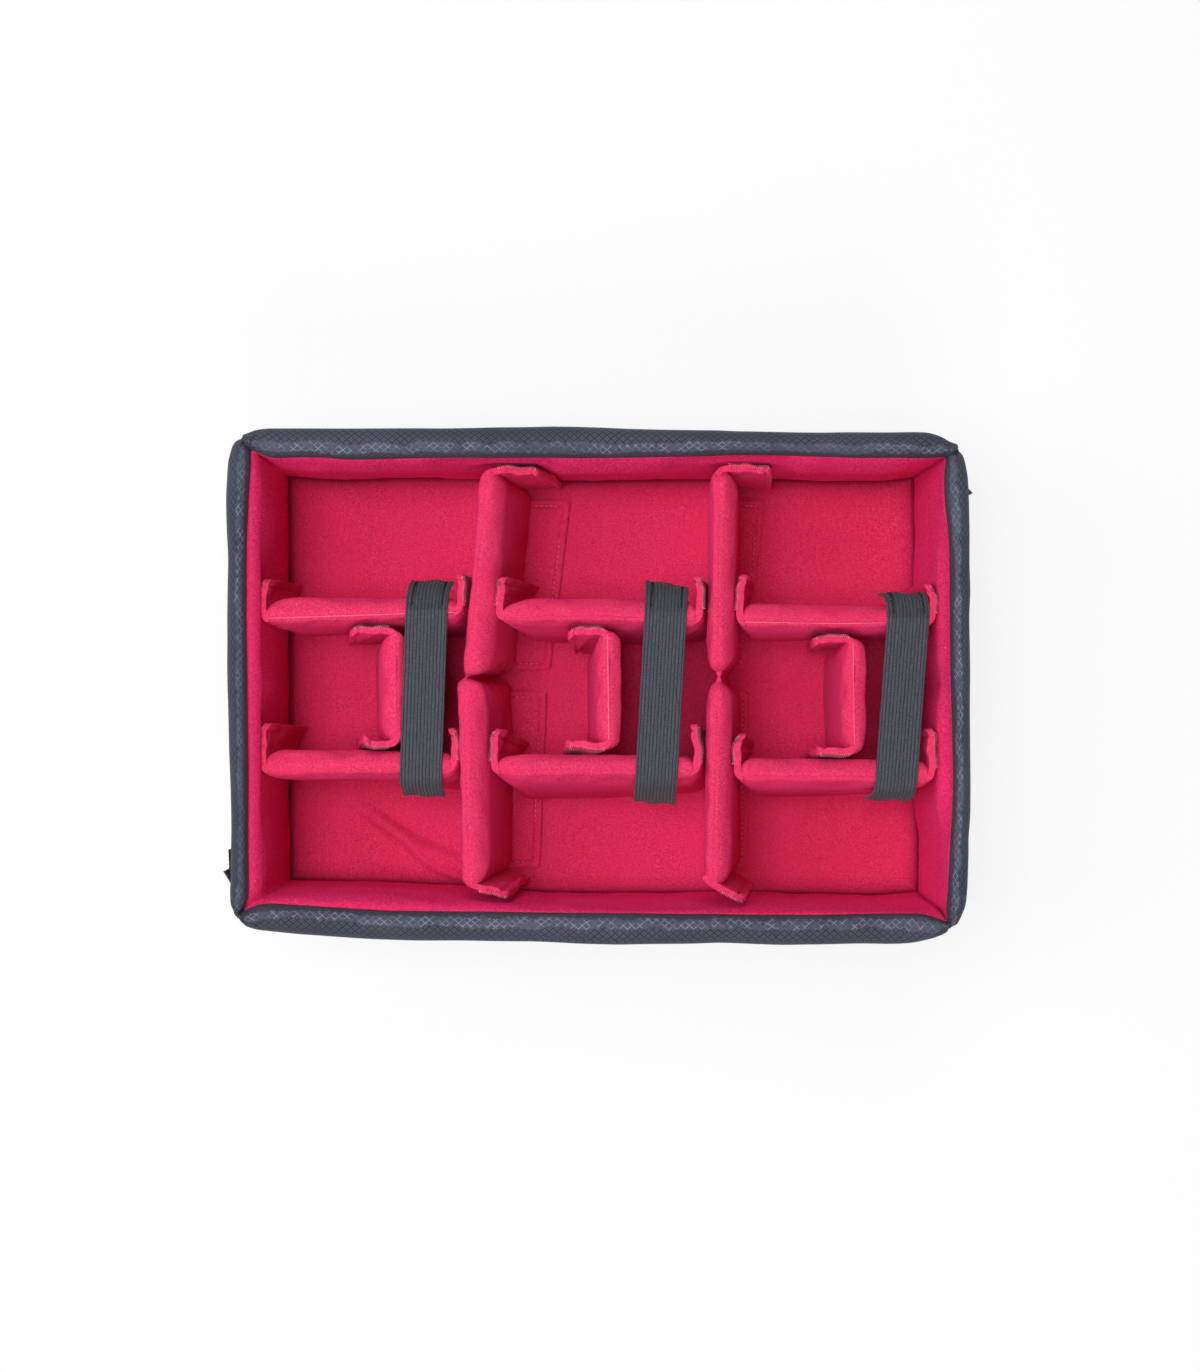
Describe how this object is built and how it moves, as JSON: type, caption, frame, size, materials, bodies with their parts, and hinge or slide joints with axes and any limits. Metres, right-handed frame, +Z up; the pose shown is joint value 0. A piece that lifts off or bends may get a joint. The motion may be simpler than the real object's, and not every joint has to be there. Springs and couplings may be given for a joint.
{
  "type": "padded case divider",
  "caption": "Soft open-top tray of padded walls, split into compartments by padded dividers with hook tabs and tied with elastic straps.",
  "frame": {"origin": "on the surface that the tray stands on, under the middle of its bounding box", "axes": "+X along the tray's long side, to the right as pictured from above; +Y along its short side, towards the picture's top; +Z up, out of the tray's open top"},
  "size_m": [0.4396, 0.298, 0.14],
  "materials": {
    "ripstop": "blue-grey coated nylon with a fine diagonal ripstop grid",
    "loop_cloth": "crimson brushed loop cloth over foam",
    "foam": "closed-cell foam board, hidden inside the cloth",
    "elastic": "dark grey ribbed woven elastic",
    "hook_tape": "black hook tape"
  },
  "bodies": {
    "tray": {"base_cover": "ripstop", "outer_wall_cover": "ripstop", "wall_foam_north": "foam", "wall_foam_south": "foam", "wall_foam_east": "foam", "wall_foam_west": "foam", "floor_foam": "foam", "wall_lining": "loop_cloth", "floor_lining": "loop_cloth", "side_tape_left": "hook_tape", "side_tape_right": "hook_tape"},
    "side_flap_left": {"side_flap_left": "ripstop"},
    "side_flap_right": {"side_flap_right": "ripstop"},
    "long_divider_1": {"long_panel_1_upper": "loop_cloth", "long_panel_1_lower": "loop_cloth", "hinge_web_1": "loop_cloth", "floor_flap_1_upper": "loop_cloth", "floor_flap_1_lower": "loop_cloth"},
    "long_tab_1_upper": {"long_tab_1_upper": "loop_cloth"},
    "long_tab_1_lower": {"long_tab_1_lower": "loop_cloth"},
    "long_divider_2": {"long_panel_2_upper": "loop_cloth", "long_panel_2_lower": "loop_cloth", "hinge_web_2": "loop_cloth", "floor_flap_2_upper": "loop_cloth", "floor_flap_2_lower": "loop_cloth"},
    "long_tab_2_upper": {"long_tab_2_upper": "loop_cloth"},
    "long_tab_2_lower": {"long_tab_2_lower": "loop_cloth"},
    "cross_pair_1": {"cross_pad_1_upper": "loop_cloth", "cross_pad_1_lower": "loop_cloth", "strap_end_1": "elastic"},
    "cross_tab_1_upper_left": {"cross_tab_1_upper_left": "loop_cloth"},
    "cross_tab_1_upper_right": {"cross_tab_1_upper_right": "loop_cloth"},
    "cross_tab_1_lower_left": {"cross_tab_1_lower_left": "loop_cloth"},
    "cross_tab_1_lower_right": {"cross_tab_1_lower_right": "loop_cloth"},
    "cross_pair_2": {"cross_pad_2_upper": "loop_cloth", "cross_pad_2_lower": "loop_cloth", "strap_end_2": "elastic"},
    "cross_tab_2_upper_left": {"cross_tab_2_upper_left": "loop_cloth"},
    "cross_tab_2_upper_right": {"cross_tab_2_upper_right": "loop_cloth"},
    "cross_tab_2_lower_left": {"cross_tab_2_lower_left": "loop_cloth"},
    "cross_tab_2_lower_right": {"cross_tab_2_lower_right": "loop_cloth"},
    "cross_pair_3": {"cross_pad_3_upper": "loop_cloth", "cross_pad_3_lower": "loop_cloth", "strap_end_3": "elastic"},
    "cross_tab_3_upper_left": {"cross_tab_3_upper_left": "loop_cloth"},
    "cross_tab_3_upper_right": {"cross_tab_3_upper_right": "loop_cloth"},
    "cross_tab_3_lower_left": {"cross_tab_3_lower_left": "loop_cloth"},
    "cross_tab_3_lower_right": {"cross_tab_3_lower_right": "loop_cloth"},
    "small_divider_1": {"small_pad_1": "loop_cloth"},
    "small_tab_1_upper": {"small_tab_1_upper": "loop_cloth"},
    "small_tab_1_lower": {"small_tab_1_lower": "loop_cloth"},
    "small_divider_2": {"small_pad_2": "loop_cloth"},
    "small_tab_2_upper": {"small_tab_2_upper": "loop_cloth"},
    "small_tab_2_lower": {"small_tab_2_lower": "loop_cloth"},
    "small_divider_3": {"small_pad_3": "loop_cloth"},
    "small_tab_3_upper": {"small_tab_3_upper": "loop_cloth"},
    "small_tab_3_lower": {"small_tab_3_lower": "loop_cloth"},
    "strap_1": {"strap_1": "elastic"},
    "strap_2": {"strap_2": "elastic"},
    "strap_3": {"strap_3": "elastic"}
  },
  "joints": [
    {"name": "side_flap_left_swing", "type": "hinge", "parent": "tray", "child": "side_flap_left", "pos_m": [-0.21276, -0.1196, 0.096], "axis": [0, 0, 1], "range_deg": [-30, 45]},
    {"name": "side_flap_right_swing", "type": "hinge", "parent": "tray", "child": "side_flap_right", "pos_m": [0.21276, 0.1196, 0.096], "axis": [0, 0, 1], "range_deg": [-30, 45]},
    {"name": "long_1_lift", "type": "slide", "parent": "tray", "child": "long_divider_1", "axis": [0, 0, 1], "range_m": [0, 0.13]},
    {"name": "long_2_lift", "type": "slide", "parent": "tray", "child": "long_divider_2", "axis": [0, 0, 1], "range_m": [0, 0.13]},
    {"name": "long_tab_1_upper_swing", "type": "hinge", "parent": "long_divider_1", "child": "long_tab_1_upper", "pos_m": [-0.0552, 0.1272, 0.0206], "axis": [0, 0, -1], "range_deg": [0, 60]},
    {"name": "long_tab_1_lower_swing", "type": "hinge", "parent": "long_divider_1", "child": "long_tab_1_lower", "pos_m": [-0.0552, -0.1272, 0.0206], "axis": [0, 0, 1], "range_deg": [0, 60]},
    {"name": "long_tab_2_upper_swing", "type": "hinge", "parent": "long_divider_2", "child": "long_tab_2_upper", "pos_m": [0.08478, 0.1272, 0.0206], "axis": [0, 0, -1], "range_deg": [0, 60]},
    {"name": "long_tab_2_lower_swing", "type": "hinge", "parent": "long_divider_2", "child": "long_tab_2_lower", "pos_m": [0.08478, -0.1272, 0.0206], "axis": [0, 0, 1], "range_deg": [0, 60]},
    {"name": "cross_pair_1_lift", "type": "slide", "parent": "tray", "child": "cross_pair_1", "axis": [0, 0, 1], "range_m": [0, 0.13]},
    {"name": "cross_pair_2_lift", "type": "slide", "parent": "long_divider_1", "child": "cross_pair_2", "axis": [0, 0, 1], "range_m": [0, 0.13]},
    {"name": "cross_pair_3_lift", "type": "slide", "parent": "long_divider_2", "child": "cross_pair_3", "axis": [0, 0, 1], "range_m": [0, 0.13]},
    {"name": "cross_tab_1_upper_left_swing", "type": "hinge", "parent": "cross_pair_1", "child": "cross_tab_1_upper_left", "pos_m": [-0.1967, 0.0453, 0.0173], "axis": [0, 0, -1], "range_deg": [0, 60]},
    {"name": "cross_tab_1_upper_right_swing", "type": "hinge", "parent": "cross_pair_1", "child": "cross_tab_1_upper_right", "pos_m": [-0.0768, 0.0453, 0.0173], "axis": [0, 0, 1], "range_deg": [0, 60]},
    {"name": "cross_tab_1_lower_left_swing", "type": "hinge", "parent": "cross_pair_1", "child": "cross_tab_1_lower_left", "pos_m": [-0.1967, -0.0437, 0.0173], "axis": [0, 0, -1], "range_deg": [0, 60]},
    {"name": "cross_tab_1_lower_right_swing", "type": "hinge", "parent": "cross_pair_1", "child": "cross_tab_1_lower_right", "pos_m": [-0.0768, -0.0437, 0.0173], "axis": [0, 0, 1], "range_deg": [0, 60]},
    {"name": "cross_tab_2_upper_left_swing", "type": "hinge", "parent": "cross_pair_2", "child": "cross_tab_2_upper_left", "pos_m": [-0.0512, 0.0453, 0.0206], "axis": [0, 0, -1], "range_deg": [0, 60]},
    {"name": "cross_tab_2_upper_right_swing", "type": "hinge", "parent": "cross_pair_2", "child": "cross_tab_2_upper_right", "pos_m": [0.06318, 0.0453, 0.0206], "axis": [0, 0, 1], "range_deg": [0, 60]},
    {"name": "cross_tab_2_lower_left_swing", "type": "hinge", "parent": "cross_pair_2", "child": "cross_tab_2_lower_left", "pos_m": [-0.0512, -0.0437, 0.0206], "axis": [0, 0, -1], "range_deg": [0, 60]},
    {"name": "cross_tab_2_lower_right_swing", "type": "hinge", "parent": "cross_pair_2", "child": "cross_tab_2_lower_right", "pos_m": [0.06318, -0.0437, 0.0206], "axis": [0, 0, 1], "range_deg": [0, 60]},
    {"name": "cross_tab_3_upper_left_swing", "type": "hinge", "parent": "cross_pair_3", "child": "cross_tab_3_upper_left", "pos_m": [0.08878, 0.0453, 0.0206], "axis": [0, 0, -1], "range_deg": [0, 60]},
    {"name": "cross_tab_3_upper_right_swing", "type": "hinge", "parent": "cross_pair_3", "child": "cross_tab_3_upper_right", "pos_m": [0.1967, 0.0453, 0.0206], "axis": [0, 0, 1], "range_deg": [0, 45]},
    {"name": "cross_tab_3_lower_left_swing", "type": "hinge", "parent": "cross_pair_3", "child": "cross_tab_3_lower_left", "pos_m": [0.08878, -0.0437, 0.0206], "axis": [0, 0, -1], "range_deg": [0, 60]},
    {"name": "cross_tab_3_lower_right_swing", "type": "hinge", "parent": "cross_pair_3", "child": "cross_tab_3_lower_right", "pos_m": [0.1967, -0.0437, 0.0206], "axis": [0, 0, 1], "range_deg": [0, 60]},
    {"name": "small_1_lift", "type": "slide", "parent": "cross_pair_1", "child": "small_divider_1", "axis": [0, 0, 1], "range_m": [0, 0.13]},
    {"name": "small_2_lift", "type": "slide", "parent": "cross_pair_2", "child": "small_divider_2", "axis": [0, 0, 1], "range_m": [0, 0.13]},
    {"name": "small_3_lift", "type": "slide", "parent": "cross_pair_3", "child": "small_divider_3", "axis": [0, 0, 1], "range_m": [0, 0.13]},
    {"name": "small_tab_1_upper_swing", "type": "hinge", "parent": "small_divider_1", "child": "small_tab_1_upper", "pos_m": [-0.1322, 0.0237, 0.0173], "axis": [0, 0, 1], "range_deg": [0, 60]},
    {"name": "small_tab_1_lower_swing", "type": "hinge", "parent": "small_divider_1", "child": "small_tab_1_lower", "pos_m": [-0.1322, -0.0397, 0.0173], "axis": [0, 0, -1], "range_deg": [0, 60]},
    {"name": "small_tab_2_upper_swing", "type": "hinge", "parent": "small_divider_2", "child": "small_tab_2_upper", "pos_m": [-0.00329, 0.0237, 0.0173], "axis": [0, 0, 1], "range_deg": [0, 60]},
    {"name": "small_tab_2_lower_swing", "type": "hinge", "parent": "small_divider_2", "child": "small_tab_2_lower", "pos_m": [-0.00329, -0.0397, 0.0173], "axis": [0, 0, -1], "range_deg": [0, 60]},
    {"name": "small_tab_3_upper_swing", "type": "hinge", "parent": "small_divider_3", "child": "small_tab_3_upper", "pos_m": [0.14318, 0.0237, 0.0173], "axis": [0, 0, 1], "range_deg": [0, 60]},
    {"name": "small_tab_3_lower_swing", "type": "hinge", "parent": "small_divider_3", "child": "small_tab_3_lower", "pos_m": [0.14318, -0.0397, 0.0173], "axis": [0, 0, -1], "range_deg": [0, 60]},
    {"name": "strap_1_peel", "type": "hinge", "parent": "cross_pair_1", "child": "strap_1", "pos_m": [-0.1, 0.0365, 0.1219], "axis": [-1, 0, 0], "range_deg": [0, 150]},
    {"name": "strap_2_peel", "type": "hinge", "parent": "cross_pair_2", "child": "strap_2", "pos_m": [0.04104, 0.0365, 0.1219], "axis": [-1, 0, 0], "range_deg": [0, 150]},
    {"name": "strap_3_peel", "type": "hinge", "parent": "cross_pair_3", "child": "strap_3", "pos_m": [0.18072, 0.0365, 0.1219], "axis": [-1, 0, 0], "range_deg": [0, 150]}
  ]
}
